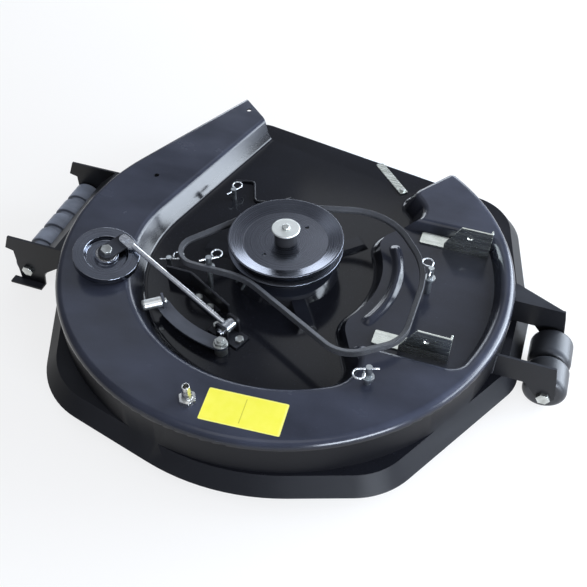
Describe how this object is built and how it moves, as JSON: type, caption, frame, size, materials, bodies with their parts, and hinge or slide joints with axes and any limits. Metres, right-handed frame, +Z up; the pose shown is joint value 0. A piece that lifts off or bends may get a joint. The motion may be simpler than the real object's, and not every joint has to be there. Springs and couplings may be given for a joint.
{
  "type": "lawn mower deck",
  "caption": "Pressed-steel side-discharge mower cutting deck with spindle pulley, blade, drive belt, swinging tensioner, lift brackets and anti-scalp rollers.",
  "frame": {"origin": "centre of the bounding box at ground level, under the bracket feet and rear rollers", "axes": "+X to the machine's rear, +Y to the discharge side, +Z up along the spindle"},
  "size_m": [1.029, 0.8897, 0.1925],
  "materials": {
    "deck_paint": "gloss black paint",
    "bracket_paint": "satin black paint",
    "zinc": "bright zinc plating",
    "bolt_steel": "zinc-plated fastener",
    "cast_housing": "as-cast alloy, painted over",
    "bearing_steel": "ground steel",
    "pulley_paint": "dark grey paint, worn bright on the rim",
    "hub_black": "black oxide",
    "blade_steel": "black paint with ground bright edges",
    "belt_rubber": "fabric-covered rubber",
    "roller_plastic": "black moulded polymer",
    "spring_wire": "yellow-passivated spring wire",
    "port_brass": "plain brass"
  },
  "bodies": {
    "deck": {"deck_shell": "deck_paint", "front_bracket": "bracket_paint", "front_axle": "bolt_steel", "front_axle_nut": "bolt_steel", "rear_plate_near": "bracket_paint", "rear_plate_far": "bracket_paint", "rear_axle": "bolt_steel", "rear_axle_nut": "bolt_steel", "lift_bracket_near": "zinc", "lift_bracket_far": "zinc", "lift_bolts": "bolt_steel", "spindle_housing": "cast_housing", "housing_bolts": "bolt_steel", "upper_bearing": "bearing_steel", "lower_bearing": "bearing_steel", "drive_belt": "belt_rubber", "belt_keepers": "zinc", "hairpin_clips": "spring_wire", "linkage_bracket": "bracket_paint", "linkage_bolts": "bolt_steel", "pivot_bracket": "bracket_paint", "pivot_bolts": "bolt_steel", "pivot_pin": "zinc", "pivot_washer": "zinc", "lever_stud": "zinc", "lever_nut": "bolt_steel", "wash_port": "port_brass", "wash_port_nut": "port_brass", "guide_wire": "bracket_paint", "chute_bolt": "bolt_steel", "chute_strip": "zinc"},
    "spindle": {"spindle_shaft": "bearing_steel", "bearing_spacer": "bearing_steel", "drive_pulley": "pulley_paint", "pulley_hub": "hub_black", "pulley_washer": "zinc", "pulley_screw": "bolt_steel", "blade_adapter": "cast_housing", "cutting_blade": "blade_steel", "blade_washer": "zinc", "blade_bolt": "bolt_steel"},
    "front_roller": {"front_roller": "roller_plastic"},
    "rear_roller_near": {"rear_roller_near": "roller_plastic"},
    "rear_roller_far": {"rear_roller_far": "roller_plastic"},
    "tension_arm": {"tension_rod": "zinc", "idler_arm": "bracket_paint", "rod_rivet": "bolt_steel", "idler_bolt": "bolt_steel"},
    "idler": {"idler_pulley": "pulley_paint", "idler_bearing": "bearing_steel"},
    "lever": {"brake_lever": "bracket_paint", "lever_sleeve": "zinc", "sleeve_bolt": "bolt_steel"}
  },
  "joints": [
    {"name": "spindle_spin", "type": "hinge", "parent": "deck", "child": "spindle", "pos_m": [-0.0005, -0.02104, 0.107], "axis": [0, 0, 1], "continuous": true},
    {"name": "front_roller_spin", "type": "hinge", "parent": "deck", "child": "front_roller", "pos_m": [-0.4765, -0.01404, 0.033], "axis": [0, 1, 0], "continuous": true},
    {"name": "rear_roller_near_spin", "type": "hinge", "parent": "deck", "child": "rear_roller_near", "pos_m": [0.4785, -0.07304, 0.036], "axis": [0, 1, 0], "continuous": true},
    {"name": "rear_roller_far_spin", "type": "hinge", "parent": "deck", "child": "rear_roller_far", "pos_m": [0.4785, -0.01204, 0.036], "axis": [0, 1, 0], "continuous": true},
    {"name": "tension_swing", "type": "hinge", "parent": "deck", "child": "tension_arm", "pos_m": [-0.0365, -0.20204, 0.115], "axis": [0.342, 0.9397, 0], "range_deg": [0, 50]},
    {"name": "idler_spin", "type": "hinge", "parent": "tension_arm", "child": "idler", "pos_m": [-0.27706, -0.15556, 0.15634], "axis": [0.2146, -0.0781, 0.9736], "continuous": true},
    {"name": "lever_swing", "type": "hinge", "parent": "deck", "child": "lever", "pos_m": [-0.0335, -0.24004, 0.111], "axis": [0, 0, -1], "range_deg": [0, 6]}
  ]
}
